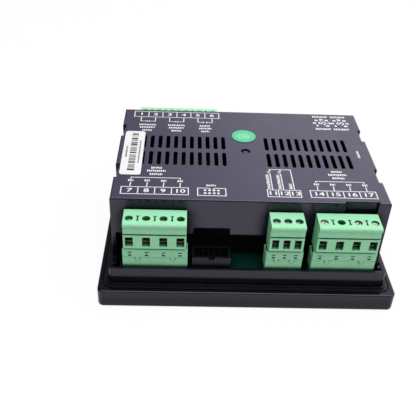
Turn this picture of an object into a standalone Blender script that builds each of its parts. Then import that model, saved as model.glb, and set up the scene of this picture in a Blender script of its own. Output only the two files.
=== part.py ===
# Transfer switch controller for a panel, lying on its front face.
# Metres. +X right, +Y away from the near terminal bay, +Z towards the rear cover.
import math
from collections import namedtuple

import bmesh
import bpy
from mathutils import Matrix

# Gap between pieces that rest on, or plug into, each other, and round a turning pin
CLEARANCE = 0.0003
RUNNING_CLEARANCE = 0.00008
LABEL_GAP = 0.0001

# Front bezel with its panel ledge and skirt
BEZEL_WIDTH = 0.139
BEZEL_DEPTH = 0.120
BEZEL_HEIGHT = 0.0098
BEZEL_CORNER = 0.0026
BEZEL_FRONT_EDGE = 0.0014
BEZEL_BACK_EDGE = 0.0006
LEDGE_SIDE = 0.0053
LEDGE_END = 0.0055
SKIRT_WIDTH = BEZEL_WIDTH - 2 * LEDGE_SIDE
SKIRT_DEPTH = BEZEL_DEPTH - 2 * LEDGE_END
SKIRT_TOP = 0.0191
SKIRT_WALL = 0.0016
SKIRT_CORNER = 0.0010
PLATE_THICKNESS = 0.002
CATCH_WIDTH = 0.0022
CATCH_REACH = 0.0014
CATCH_SPACING = 0.0042

# Rubber seal in a groove round the skirt
GROOVE_WIDTH = 0.0034
GROOVE_DEPTH = 0.0010
SEAL_WIDTH = 0.0023
SEAL_PROUD = 0.0002
SEAL_LIP_WIDTH = 0.0009
SEAL_LIP_HEIGHT = 0.0010
SEAL_CORNER = 0.0016

# Front overlay in its recess
OVERLAY_MARGIN = 0.006
OVERLAY_WIDTH = BEZEL_WIDTH - 2 * OVERLAY_MARGIN
OVERLAY_DEPTH = BEZEL_DEPTH - 2 * OVERLAY_MARGIN
OVERLAY_THICKNESS = 0.0005
OVERLAY_SETBACK = 0.0005
OVERLAY_CORNER = 0.002
KEY_RADIUS = 0.0055
KEY_CROWN_RADIUS = 0.0044
KEY_RISE = 0.00025
KEY_STEM_RADIUS = 0.0026
KEY_COUNT = 4
KEY_PITCH = 0.021
KEY_INSET = 0.020
KEY_ROW_Y = OVERLAY_DEPTH / 2 - KEY_INSET
LAMP_RADIUS = 0.0015
LAMP_TIP_RADIUS = 0.0009
LAMP_COUNT = 6
LAMP_PITCH = 0.0175
LAMP_ROWS = (-0.030, -0.006)

# Rear cover
COVER_STEP = 0.0007
COVER_WIDTH = SKIRT_WIDTH - 2 * COVER_STEP
COVER_END = COVER_WIDTH / 2
COVER_TOP = 0.050
COVER_WALL = 0.002
COVER_ROOF = 0.002
COVER_EDGE = 0.0007
BAY_DEPTH = 0.01185
COVER_DEPTH = SKIRT_DEPTH - 2 * BAY_DEPTH
COVER_SIDE = COVER_DEPTH / 2
MOUTH_TOP = 0.0307
FAR_MOUTH_LENGTH = 0.0525
FAR_MOUTH_RIGHT = FAR_MOUTH_LENGTH - COVER_END
NOTCH_Y = 0.0193
NOTCH_LENGTH = 0.0112
NOTCH_DEPTH = 0.0015
RECESS_INSET = 0.01325
RECESS_X = COVER_END - RECESS_INSET
RECESS_WIDTH = 0.0151
RECESS_DEPTH = 0.00145
VENT_LENGTH = 0.0124
VENT_WIDTH = 0.002
VENT_PITCH = 0.004
VENT_COUNT = 11
VENT_GROUP_X = 0.031
VENT_ROW_Y = 0.0078
GATE_RADIUS = 0.0027
GATE_FLOOR_RADIUS = 0.0021
GATE_NUB_RADIUS = 0.0011
GATE_DEPTH = 0.0009
GATE_Y = 0.0003
TONGUE_WIDTH = 0.008
TONGUE_REACH = 0.006
TONGUE_INSET = 0.00965
TONGUE_Y = COVER_SIDE - TONGUE_INSET

# Circuit boards and what stands on them
BOARD_THICKNESS = 0.0016
BOARD_CORNER = 0.0015
MAIN_BOARD_TOP = 0.0163
DISPLAY_BOARD_TOP = 0.0079
DISPLAY_BOARD_MARGIN = 0.003
BOSS_RADIUS = 0.003
POST_RADIUS = 0.0015
BOSS_INSET = 0.0105
BOSS_X = COVER_END - BOSS_INSET
BOSS_Y = SKIRT_DEPTH / 2 - BOSS_INSET
RELAY_WIDTH = 0.0125
RELAY_LENGTH = 0.029
RELAY_HEIGHT = 0.0157
RELAY_CHAMFER = 0.0008
RELAY_COUNT = 3
RELAY_PITCH = 0.0152
RELAY_INSET = 0.0135
RELAY_X = RELAY_INSET - COVER_END
RELAY_BACK = 0.02165
RELAY_Y = COVER_SIDE - RELAY_BACK
TRANSFORMER_WIDTH = 0.030
TRANSFORMER_LENGTH = 0.021
TRANSFORMER_HEIGHT = 0.022
TRANSFORMER_FLANGE = 0.0044
COIL_WIDTH = 0.0216
COIL_LENGTH = 0.026
TRANSFORMER_INSET = 0.0295
TRANSFORMER_X = COVER_END - TRANSFORMER_INSET
TRANSFORMER_FRONT = 0.02665
TRANSFORMER_Y = TRANSFORMER_FRONT - COVER_SIDE
CONNECTOR_WIDTH = 0.0205
CONNECTOR_DEPTH = 0.005
CONNECTOR_SHELL = 0.0008
CONNECTOR_Y = 0.012

# Terminal headers
HEADER_HEIGHT = 0.0124
HEADER_LOW_HEIGHT = 0.0096
HEADER_DEPTH = 0.0088
HEADER_WALL = 0.001
HEADER_SIDE_WALL = 0.0005
HEADER_FLOOR = 0.0025
HEADER_END = 0.0007
HEADER_BAND = 0.0044
HEADER_BAND_STEP = 0.0003
LATCH_UPPER_WIDTH = 0.0017
LATCH_UPPER_HEIGHT = 0.0005
LATCH_UPPER_DROP = 0.0019
LATCH_LOWER_WIDTH = 0.0015
LATCH_LOWER_HEIGHT = 0.0008
LATCH_LOWER_DROP = 0.0034
RIB_WIDTH = 0.0016
RIB_HEIGHT = 0.0019
RIB_SPREAD = 0.7
PIN_SIZE = 0.0010
PIN_TOP_GAP = 0.0018

# Terminal plugs
PLUG_END = 0.00532
PLUG_SEAM = 0.0016
PLUG_HEIGHT = 0.0139
PLUG_OVERHANG = 0.00175
PLUG_GAP = 0.00055
PLUG_SKIRT = 0.0024
INSERT_SETBACK = 0.0006
LIP_HEIGHT = 0.0018
LIP_STEP = 0.00085
LIP_CHAMFER = 0.0006
GROOVE_HEIGHT = 0.0005
GROOVE_STEP = 0.0013
WIRE_FACE_HEIGHT = 0.0074
WIRE_FACE_STEP = 0.00045
INSERT_FOOT = 0.0006
WINDOW_HEIGHT = 0.0050
WINDOW_SILL = 0.0013
PROBE_BAR = 0.0016
PROBE_FOOT = 0.0011
PROBE_STEM = 0.0006
PROBE_LENGTH = 0.0037
PROBE_DEPTH = 0.003
PROBE_SETBACK = 0.0047

# Clamp screws and rising clamps
SCREW_SETBACK = 0.0046
SCREW_HEAD_RADIUS = 0.00155
SCREW_HEAD_HEIGHT = 0.0016
SCREW_SHANK_RADIUS = 0.0012
SCREW_SHANK_LENGTH = 0.0060
SCREW_SLOT_WIDTH = 0.0006
SCREW_SLOT_DEPTH = 0.0008
CLAMP_WIDTH = 0.0039
CLAMP_DEPTH = 0.0039
CLAMP_HEIGHT = 0.0060
CLAMP_WALL = 0.0004
CLAMP_TOP_WALL = 0.0009
CLAMP_RISE = 0.0010

# Link header, a box header with two rows of pins
LINK_INSET = 0.0463
LINK_X = LINK_INSET - COVER_END
LINK_WIDTH = 0.0177
LINK_DEPTH = 0.0089
LINK_HEIGHT = 0.0081
LINK_WALL = 0.0012
LINK_FLOOR = 0.0024
LINK_PITCH = 0.00254
LINK_COLUMNS = 4
LINK_PIN = 0.00064
LINK_PIN_HEIGHT = 0.0050
LINK_KEY_WIDTH = 0.0027
LINK_KEY_DEPTH = 0.0013
LINK_BAND = 0.0014
LINK_BAND_STEP = 0.0003
LINK_CUT_WIDTH = 0.0168
LINK_CUT_TOP = 0.0343

# Side-adjusted trimmers in the far bay
TRIMMER_INSETS = (0.0195, 0.0096)
TRIMMER_X = tuple(COVER_END - x for x in TRIMMER_INSETS)
TRIMMER_WIDTH = 0.0094
TRIMMER_DEPTH = 0.0050
TRIMMER_HEIGHT = 0.0098
TRIMMER_SETBACK = 0.0020
ROTOR_RADIUS = 0.0022
ROTOR_LENGTH = 0.0016
ROTOR_PROUD = 0.0006
ROTOR_PIN_RADIUS = 0.0008
ROTOR_PIN_LENGTH = 0.0015
ROTOR_SLOT = 0.0006
ROTOR_SLOT_LENGTH = 0.0033
ROTOR_SLOT_DEPTH = 0.0008

# Labels on the roof
SERIAL_WIDTH = 0.0101
SERIAL_LENGTH = 0.0411
SERIAL_INSET = 0.0075
SERIAL_X = SERIAL_INSET - COVER_END
SERIAL_Y = -0.0030
SERIAL_CORNER = 0.0015
STICKER_RADIUS = 0.0062
STICKER_Y = 0.0152
LABEL_THICKNESS = 0.00015

# Terminal rows: the number on their first pole, poles, pole pitch, place, side, wire window width,
# and how far the plug is still drawn out of its header
WIDE_PITCH = 0.00762
NARROW_PITCH = 0.00508
WIDE_WINDOW = 0.0035
NARROW_WINDOW = 0.0031
FAR_LIFT = 0.001
ROW_1_INSET = 0.0292
ROW_7_INSET = 0.02055
ROW_11_INSET = 0.0474
ROW_14_INSET = 0.0197
ROW_1_X = ROW_1_INSET - COVER_END
ROW_7_X = ROW_7_INSET - COVER_END
ROW_11_X = COVER_END - ROW_11_INSET
ROW_14_X = COVER_END - ROW_14_INSET
Row = namedtuple("Row", "first ways pitch x side window lift")
ROWS = (
    Row(first=1, ways=6, pitch=WIDE_PITCH, x=ROW_1_X, side=1, window=WIDE_WINDOW, lift=FAR_LIFT),
    Row(first=7, ways=4, pitch=WIDE_PITCH, x=ROW_7_X, side=-1, window=WIDE_WINDOW, lift=0.0),
    Row(first=11, ways=3, pitch=NARROW_PITCH, x=ROW_11_X, side=-1, window=NARROW_WINDOW, lift=0.0),
    Row(first=14, ways=4, pitch=WIDE_PITCH, x=ROW_14_X, side=-1, window=WIDE_WINDOW, lift=0.0),
)
# How far each screw is run in below the plug's top, and how its slot is turned, in degrees
SCREW_STATES = {
    1: (0.0016, 30), 2: (0.0019, -40), 3: (0.0015, 65), 4: (0.0018, 10), 5: (0.0017, -70), 6: (0.0016, 45),
    7: (0.0016, -40), 8: (0.0021, 62), 9: (0.0019, 58), 10: (0.0022, 50),
    11: (0.0014, -45), 12: (0.0016, -38), 13: (0.0015, 50),
    14: (0.0007, 52), 15: (0.0028, 80), 16: (0.0009, 48), 17: (0.0009, -8),
}

# Facets of a full circle
ROUND_STEPS = 16
SMALL_STEPS = 12
SCREW_HOLE_STEPS = 8

# Places that follow from the sizes above
COVER_BOTTOM = SKIRT_TOP + CLEARANCE
SKIRT_INNER_X = SKIRT_WIDTH / 2 - SKIRT_WALL
SKIRT_INNER_Y = SKIRT_DEPTH / 2 - SKIRT_WALL
PLATE_FRONT = OVERLAY_SETBACK + OVERLAY_THICKNESS + CLEARANCE
PLATE_BACK = PLATE_FRONT + PLATE_THICKNESS
MAIN_BOARD_X = COVER_WIDTH / 2 - COVER_WALL - CATCH_REACH - 2 * CLEARANCE
MAIN_BOARD_Y = SKIRT_INNER_Y - CLEARANCE
PART_SEAT = MAIN_BOARD_TOP + CLEARANCE
DISPLAY_BOARD_X = MAIN_BOARD_X - DISPLAY_BOARD_MARGIN
DISPLAY_BOARD_Y = SKIRT_INNER_Y - DISPLAY_BOARD_MARGIN
HEADER_FRONT = MAIN_BOARD_Y
HEADER_TOP = PART_SEAT + HEADER_HEIGHT
HEADER_LOW_TOP = PART_SEAT + HEADER_LOW_HEIGHT
HEADER_MIDDLE = HEADER_FRONT - HEADER_DEPTH / 2
PLUG_FRONT = HEADER_FRONT + PLUG_OVERHANG
PLUG_BACK = COVER_DEPTH / 2 + PLUG_GAP
SCREW_Y = PLUG_FRONT - SCREW_SETBACK
CLAMP_BOTTOM = WINDOW_SILL + CLAMP_RISE
INSERT_REACH = PLUG_SEAM + HEADER_HEIGHT - HEADER_FLOOR - INSERT_FOOT


def clear_scene():
    for old in list(bpy.data.objects):
        bpy.data.objects.remove(old, do_unlink=True)


def plastic(name, color, roughness, metallic=0.0):
    material = bpy.data.materials.new(name)
    material.use_nodes = True
    shader = material.node_tree.nodes["Principled BSDF"]
    shader.inputs["Base Color"].default_value = (*color, 1.0)
    shader.inputs["Roughness"].default_value = roughness
    shader.inputs["Metallic"].default_value = metallic
    material.diffuse_color = (*color, 1.0)
    return material


def rectangle(x0, x1, y0, y1):
    return [(x0, y0), (x1, y0), (x1, y1), (x0, y1)]


def rounded_rectangle(width, depth, radius, steps=4):
    """Counter-clockwise outline about the origin, with quarter-circle corners."""
    points = []
    for corner, (sx, sy) in enumerate(((1, -1), (1, 1), (-1, 1), (-1, -1))):
        cx = sx * (width / 2 - radius)
        cy = sy * (depth / 2 - radius)
        for k in range(steps + 1):
            angle = math.pi / 2 * (corner - 1 + k / steps)
            points.append((cx + radius * math.cos(angle), cy + radius * math.sin(angle)))
    return points


def circle(radius, steps, x=0.0, y=0.0):
    angles = [2 * math.pi * k / steps for k in range(steps)]
    return [(x + radius * math.cos(a), y + radius * math.sin(a)) for a in angles]


def capsule(width, length, x, y, steps=4):
    """A slot with round ends, its length along Y."""
    points = []
    for side in (1, -1):
        for k in range(steps + 1):
            angle = math.pi * k / steps + (0 if side == 1 else math.pi)
            reach = side * (length - width) / 2
            points.append((x + width / 2 * math.cos(angle), y + reach + width / 2 * math.sin(angle)))
    return points


def inset(outline, distance):
    """Move every edge of a counter-clockwise outline inwards by the distance."""
    moved = []
    count = len(outline)
    for i, (x, y) in enumerate(outline):
        px, py = outline[i - 1]
        nx, ny = outline[(i + 1) % count]
        before = math.hypot(x - px, y - py)
        after = math.hypot(nx - x, ny - y)
        normal_a = (-(y - py) / before, (x - px) / before)
        normal_b = (-(ny - y) / after, (nx - x) / after)
        scale = distance / (1 + normal_a[0] * normal_b[0] + normal_a[1] * normal_b[1])
        moved.append((x + (normal_a[0] + normal_b[0]) * scale, y + (normal_a[1] + normal_b[1]) * scale))
    return moved


def loft(bm, rings, hoop=False):
    """Join rings of 3D points, each with the same count, into a capped solid or a closed hoop."""
    loops = [[bm.verts.new(point) for point in ring] for ring in rings]
    count = len(loops[0])
    pairs = list(zip(loops, loops[1:]))
    if hoop:
        pairs.append((loops[-1], loops[0]))
    else:
        bm.faces.new(reversed(loops[0]))
        bm.faces.new(loops[-1])
    for lower, upper in pairs:
        for i in range(count):
            j = (i + 1) % count
            bm.faces.new((lower[i], lower[j], upper[j], upper[i]))


def lift(outline, z):
    return [(x, y, z) for x, y in outline]


def prism(bm, outline, low, high):
    loft(bm, [lift(outline, low), lift(outline, high)])


def box(bm, x0, x1, y0, y1, z0, z1):
    prism(bm, rectangle(x0, x1, y0, y1), z0, z1)


def turned(bm, profile, steps):
    """A solid turned about Z from (radius, height) pairs, lowest first."""
    loft(bm, [lift(circle(radius, steps), height) for radius, height in profile])


def extruded(bm, outline, x0, x1):
    """A profile of (y, z) points carried along X."""
    loft(bm, [[(x, y, z) for y, z in outline] for x in (x0, x1)])


def mesh_from(name, bm):
    bmesh.ops.recalc_face_normals(bm, faces=bm.faces)
    mesh = bpy.data.meshes.new(name)
    bm.to_mesh(mesh)
    bm.free()
    return mesh


def place(name, mesh, material, location=(0, 0, 0), turn=0.0, smooth=True):
    piece = bpy.data.objects.new(name, mesh)
    bpy.context.scene.collection.objects.link(piece)
    piece.location = location
    piece.rotation_euler = (0, 0, turn)
    if material is not None and not mesh.materials:
        mesh.materials.append(material)
    if smooth:
        mesh.shade_smooth()
        mesh.set_sharp_from_angle(angle=math.radians(35))
    return piece


def solid(name, material, shape, **where):
    """A named object whose mesh the shape function draws."""
    bm = bmesh.new()
    shape(bm)
    return place(name, mesh_from(name, bm), material, **where)


def combine(piece, operation, label, shape):
    """Cut the drawn shape from the piece, or add it, and keep it as a hidden guide."""
    bm = bmesh.new()
    shape(bm)
    tool = place(f"{piece.name}.{label}", mesh_from(label, bm), None, smooth=False)
    tool.parent = piece
    tool.hide_render = True
    tool.display_type = "WIRE"
    step = piece.modifiers.new(label, "BOOLEAN")
    step.operation = operation
    step.object = tool
    step.solver = "EXACT"
    return tool


def cut(piece, label, shape):
    return combine(piece, "DIFFERENCE", label, shape)


def join(piece, label, shape):
    return combine(piece, "UNION", label, shape)


def bake(piece):
    """Turn the piece's modifiers into mesh, so that copies can share it."""
    bpy.context.view_layer.update()
    evaluated = piece.evaluated_get(bpy.context.evaluated_depsgraph_get())
    mesh = bpy.data.meshes.new_from_object(evaluated)
    tools = [child for child in bpy.data.objects if child.parent == piece]
    bpy.data.objects.remove(piece, do_unlink=True)
    for tool in tools:
        bpy.data.objects.remove(tool, do_unlink=True)
    return mesh


def key_places():
    first = -(KEY_COUNT - 1) / 2 * KEY_PITCH
    return [(first + k * KEY_PITCH, KEY_ROW_Y) for k in range(KEY_COUNT)]


def lamp_places():
    first = -(LAMP_COUNT - 1) / 2 * LAMP_PITCH
    return [(first + k * LAMP_PITCH, y) for y in LAMP_ROWS for k in range(LAMP_COUNT)]


def boss_places():
    return [(sx * BOSS_X, sy * BOSS_Y) for sx in (-1, 1) for sy in (-1, 1)]


def round_skirt(distance):
    """An outline that runs round the skirt at that distance from it."""
    return rounded_rectangle(SKIRT_WIDTH + 2 * distance, SKIRT_DEPTH + 2 * distance, SEAL_CORNER + distance)


def make_bezel(material):
    def outside(bm):
        rings = []
        for k in range(4):
            angle = math.pi / 2 * k / 3
            back = BEZEL_FRONT_EDGE * (1 - math.sin(angle))
            rings.append((back, BEZEL_FRONT_EDGE * (1 - math.cos(angle))))
        for k in range(3):
            angle = math.pi / 2 * k / 2
            back = BEZEL_BACK_EDGE * (1 - math.cos(angle))
            rings.append((back, BEZEL_HEIGHT - BEZEL_BACK_EDGE * (1 - math.sin(angle))))
        outlines = []
        for back, z in rings:
            corner = BEZEL_CORNER - back
            outlines.append(lift(rounded_rectangle(BEZEL_WIDTH - 2 * back, BEZEL_DEPTH - 2 * back, corner), z))
        groove = round_skirt(GROOVE_WIDTH)
        skirt = rounded_rectangle(SKIRT_WIDTH, SKIRT_DEPTH, SKIRT_CORNER)
        outlines.append(lift(groove, BEZEL_HEIGHT))
        outlines.append(lift(groove, BEZEL_HEIGHT - GROOVE_DEPTH))
        outlines.append(lift(skirt, BEZEL_HEIGHT - GROOVE_DEPTH))
        outlines.append(lift(skirt, SKIRT_TOP))
        loft(bm, outlines)

    def inside(bm):
        hollow = rectangle(-SKIRT_INNER_X, SKIRT_INNER_X, -SKIRT_INNER_Y, SKIRT_INNER_Y)
        prism(bm, hollow, PLATE_BACK, SKIRT_TOP + SKIRT_WALL)

    def overlay_seat(bm):
        seat = rounded_rectangle(
            OVERLAY_WIDTH + 2 * CLEARANCE, OVERLAY_DEPTH + 2 * CLEARANCE, OVERLAY_CORNER + CLEARANCE
        )
        prism(bm, seat, -PLATE_THICKNESS, PLATE_FRONT)

    def windows(bm):
        low = PLATE_FRONT - PLATE_THICKNESS / 2
        high = PLATE_BACK + PLATE_THICKNESS / 2
        for x, y in key_places():
            prism(bm, circle(KEY_RADIUS, ROUND_STEPS, x, y), low, high)
        for x, y in lamp_places():
            prism(bm, circle(LAMP_RADIUS + CLEARANCE, SMALL_STEPS, x, y), low, high)

    def bosses(bm):
        shoulder = DISPLAY_BOARD_TOP - BOARD_THICKNESS - CLEARANCE
        tip = MAIN_BOARD_TOP - BOARD_THICKNESS - CLEARANCE
        for x, y in boss_places():
            boss = circle(BOSS_RADIUS, SMALL_STEPS, x, y)
            post = circle(POST_RADIUS, SMALL_STEPS, x, y)
            levels = [lift(boss, PLATE_BACK - PLATE_THICKNESS / 2), lift(boss, shoulder)]
            loft(bm, levels + [lift(post, shoulder), lift(post, tip)])

    def catches(bm):
        wall = SKIRT_WIDTH / 2 - SKIRT_WALL / 2
        middle = (SKIRT_INNER_Y + COVER_DEPTH / 2) / 2
        for sx in (-1, 1):
            for sy in (-1, 1):
                for side in (-1, 1):
                    y = sy * middle + side * CATCH_SPACING / 2
                    y0 = y - CATCH_WIDTH / 2
                    x0, x1 = sorted((sx * (SKIRT_INNER_X - CATCH_REACH), sx * wall))
                    box(bm, x0, x1, y0, y0 + CATCH_WIDTH, BEZEL_HEIGHT, SKIRT_TOP - CLEARANCE)

    bezel = solid("front_bezel", material, outside)
    cut(bezel, "inside", inside)
    cut(bezel, "overlay_seat", overlay_seat)
    cut(bezel, "windows", windows)
    join(bezel, "bosses", bosses)
    join(bezel, "catches", catches)


def make_seal(material):
    """A rubber ring with a raised inner lip, midway in its groove."""
    def ring(bm):
        inner = (GROOVE_WIDTH - SEAL_WIDTH) / 2
        lip = inner + SEAL_LIP_WIDTH
        outer = inner + SEAL_WIDTH
        low = BEZEL_HEIGHT - GROOVE_DEPTH + CLEARANCE
        top = BEZEL_HEIGHT + SEAL_PROUD
        tip = top + SEAL_LIP_HEIGHT
        profile = ((outer, low), (outer, top), (lip, top), (lip, tip), (inner, tip), (inner, low))
        loft(bm, [lift(round_skirt(distance), z) for distance, z in profile], hoop=True)

    solid("panel_seal", material, ring)


def make_overlay(material):
    def film(bm):
        outline = rounded_rectangle(OVERLAY_WIDTH, OVERLAY_DEPTH, OVERLAY_CORNER)
        prism(bm, outline, OVERLAY_SETBACK, OVERLAY_SETBACK + OVERLAY_THICKNESS)

    def domes(bm):
        for x, y in key_places():
            low = circle(KEY_CROWN_RADIUS, ROUND_STEPS, x, y)
            high = circle(KEY_RADIUS, ROUND_STEPS, x, y)
            middle = OVERLAY_SETBACK + OVERLAY_THICKNESS / 2
            loft(bm, [lift(low, OVERLAY_SETBACK - KEY_RISE), lift(high, OVERLAY_SETBACK), lift(high, middle)])

    overlay = solid("front_overlay", material, film)
    join(overlay, "domes", domes)


def cover_outline():
    """The cover seen from above: clip notches in both sides and a recess in the near wall."""
    half_width = COVER_WIDTH / 2
    half_depth = COVER_DEPTH / 2
    near = NOTCH_Y - NOTCH_LENGTH / 2
    far = NOTCH_Y + NOTCH_LENGTH / 2
    deep = half_width - NOTCH_DEPTH
    recess_left = RECESS_X - RECESS_WIDTH / 2
    recess_right = RECESS_X + RECESS_WIDTH / 2
    recess_back = -half_depth + RECESS_DEPTH
    right = [(half_width, -far), (deep, -far), (deep, -near), (half_width, -near)]
    right += [(half_width, near), (deep, near), (deep, far), (half_width, far)]
    left = [(-x, -y) for x, y in right]
    points = [(-half_width, -half_depth), (recess_left, -half_depth), (recess_left, recess_back)]
    points += [(recess_right, recess_back), (recess_right, -half_depth), (half_width, -half_depth)]
    return points + right + [(half_width, half_depth), (-half_width, half_depth)] + left


def vent_places():
    first = -(VENT_COUNT - 1) / 2 * VENT_PITCH
    columns = [side * VENT_GROUP_X + first + k * VENT_PITCH for side in (-1, 1) for k in range(VENT_COUNT)]
    return [(x, side * VENT_ROW_Y) for side in (-1, 1) for x in columns]


def make_cover(material):
    outline = cover_outline()
    roof_low = COVER_TOP - COVER_ROOF

    def outside(bm):
        rings = [lift(outline, COVER_BOTTOM)]
        for k in range(3):
            angle = math.pi / 2 * k / 2
            back = COVER_EDGE * (1 - math.cos(angle))
            rings.append(lift(inset(outline, back), COVER_TOP - COVER_EDGE * (1 - math.sin(angle))))
        loft(bm, rings)

    def inside(bm):
        prism(bm, inset(outline, COVER_WALL), COVER_BOTTOM - COVER_WALL, roof_low)

    def mouths(bm):
        half = COVER_WIDTH / 2 - COVER_WALL
        reach = COVER_DEPTH / 2 + COVER_WALL
        inner = COVER_DEPTH / 2 - 2 * COVER_WALL - RECESS_DEPTH
        for side, right in ((-1, half), (1, FAR_MOUTH_RIGHT)):
            y0, y1 = sorted((side * inner, side * reach))
            box(bm, -half, right, y0, y1, COVER_BOTTOM - COVER_WALL, MOUTH_TOP)

    def link_opening(bm):
        half = LINK_CUT_WIDTH / 2
        wall = -COVER_DEPTH / 2
        box(bm, LINK_X - half, LINK_X + half, wall - COVER_WALL, wall + 2 * COVER_WALL,
            MOUTH_TOP - COVER_WALL, LINK_CUT_TOP)

    def vents(bm):
        for x, y in vent_places():
            prism(bm, capsule(VENT_WIDTH, VENT_LENGTH, x, y), roof_low - COVER_ROOF, COVER_TOP + COVER_ROOF)

    def gate(bm):
        floor = COVER_TOP - GATE_DEPTH
        outer = circle(GATE_RADIUS, ROUND_STEPS, 0, GATE_Y)
        foot = circle(GATE_FLOOR_RADIUS, ROUND_STEPS, 0, GATE_Y)
        nub = circle(GATE_NUB_RADIUS, ROUND_STEPS, 0, GATE_Y)
        loft(bm, [lift(nub, floor + GATE_DEPTH / 2), lift(foot, floor), lift(outer, COVER_TOP + GATE_DEPTH)])

    def tongues(bm):
        wall = COVER_WIDTH / 2
        low = COVER_BOTTOM - TONGUE_REACH
        for sx in (-1, 1):
            for sy in (-1, 1):
                x0, x1 = sorted((sx * (wall - COVER_WALL - CATCH_REACH), sx * (SKIRT_INNER_X - CLEARANCE)))
                y = sy * TONGUE_Y
                box(bm, x0, x1, y - TONGUE_WIDTH / 2, y + TONGUE_WIDTH / 2, low, COVER_BOTTOM + TONGUE_REACH)

    cover = solid("rear_cover", material, outside)
    cut(cover, "inside", inside)
    cut(cover, "mouths", mouths)
    cut(cover, "link_opening", link_opening)
    cut(cover, "vents", vents)
    cut(cover, "gate", gate)
    join(cover, "tongues", tongues)


def make_boards(material, lamp_material):
    def main(bm):
        outline = rounded_rectangle(2 * MAIN_BOARD_X, 2 * MAIN_BOARD_Y, BOARD_CORNER, steps=2)
        prism(bm, outline, MAIN_BOARD_TOP - BOARD_THICKNESS, MAIN_BOARD_TOP)

    def display(bm):
        outline = rounded_rectangle(2 * DISPLAY_BOARD_X, 2 * DISPLAY_BOARD_Y, BOARD_CORNER, steps=2)
        prism(bm, outline, DISPLAY_BOARD_TOP - BOARD_THICKNESS, DISPLAY_BOARD_TOP)

    def post_holes(bm):
        for x, y in boss_places():
            hole = circle(POST_RADIUS + CLEARANCE, SMALL_STEPS, x, y)
            prism(bm, hole, DISPLAY_BOARD_TOP - 2 * BOARD_THICKNESS, DISPLAY_BOARD_TOP + BOARD_THICKNESS)

    def lamps_and_domes(bm):
        middle = DISPLAY_BOARD_TOP - BOARD_THICKNESS / 2
        foot = DISPLAY_BOARD_TOP - BOARD_THICKNESS
        lamp_tip = PLATE_FRONT + PLATE_THICKNESS / 2
        dome_tip = PLATE_FRONT + CLEARANCE
        for x, y in lamp_places():
            tip = circle(LAMP_TIP_RADIUS, SMALL_STEPS, x, y)
            body = circle(LAMP_RADIUS, SMALL_STEPS, x, y)
            shoulder = lamp_tip + LAMP_RADIUS / 2
            loft(bm, [lift(tip, lamp_tip), lift(body, shoulder), lift(body, middle)])
        for x, y in key_places():
            stem = circle(KEY_STEM_RADIUS, SMALL_STEPS, x, y)
            base = circle(KEY_CROWN_RADIUS, SMALL_STEPS, x, y)
            base_low = foot - (foot - PLATE_BACK) / 2
            loft(bm, [lift(stem, dome_tip), lift(stem, base_low), lift(base, base_low), lift(base, middle)])

    solid("main_board", material, main)
    board = solid("display_board", lamp_material, display)
    cut(board, "post_holes", post_holes)
    join(board, "lamps_and_domes", lamps_and_domes)


def make_inner_parts(relay_material, coil_material, connector_material):
    """What stands on the main board under the cover, and the connector between the boards."""
    def relay(bm):
        case = rectangle(-RELAY_WIDTH / 2, RELAY_WIDTH / 2, -RELAY_LENGTH / 2, RELAY_LENGTH / 2)
        top = PART_SEAT + RELAY_HEIGHT
        lid = inset(case, RELAY_CHAMFER)
        loft(bm, [lift(case, PART_SEAT), lift(case, top - RELAY_CHAMFER), lift(lid, top)])

    def transformer(bm):
        coil = rounded_rectangle(COIL_WIDTH, COIL_LENGTH, BOARD_CORNER, steps=2)
        core = rounded_rectangle(TRANSFORMER_WIDTH, TRANSFORMER_LENGTH, BOARD_CORNER, steps=2)
        base = PART_SEAT + TRANSFORMER_FLANGE
        top = PART_SEAT + TRANSFORMER_HEIGHT
        neck = top - TRANSFORMER_FLANGE
        loft(bm, [lift(core, PART_SEAT), lift(core, base), lift(coil, base), lift(coil, neck),
                  lift(core, neck), lift(core, top)])

    def connector(bm):
        low = DISPLAY_BOARD_TOP + CLEARANCE
        high = MAIN_BOARD_TOP - BOARD_THICKNESS - CLEARANCE
        split = (low + high) / 2
        outer = rectangle(-CONNECTOR_WIDTH / 2, CONNECTOR_WIDTH / 2, -CONNECTOR_DEPTH / 2, CONNECTOR_DEPTH / 2)
        inner = inset(outer, CONNECTOR_SHELL)
        loft(bm, [lift(outer, low), lift(outer, split), lift(inner, split), lift(inner, high)])

    for k in range(RELAY_COUNT):
        where = (RELAY_X + k * RELAY_PITCH, RELAY_Y, 0)
        solid(f"output_relay_{k + 1}", relay_material, relay, location=where)
    solid("supply_transformer", coil_material, transformer, location=(TRANSFORMER_X, TRANSFORMER_Y, 0))
    solid("board_connector", connector_material, connector, location=(0, CONNECTOR_Y, 0))


def poles(row):
    """Places along the row, from its left end when its wire windows face the viewer."""
    return [(k - (row.ways - 1) / 2) * row.pitch for k in range(row.ways)]


def row_name(row):
    return f"{row.first}_{row.first + row.ways - 1}"


def row_turn(row):
    return 0.0 if row.side < 0 else math.pi


def plug_width(row):
    return (row.ways - 1) * row.pitch + PLUG_END


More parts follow.
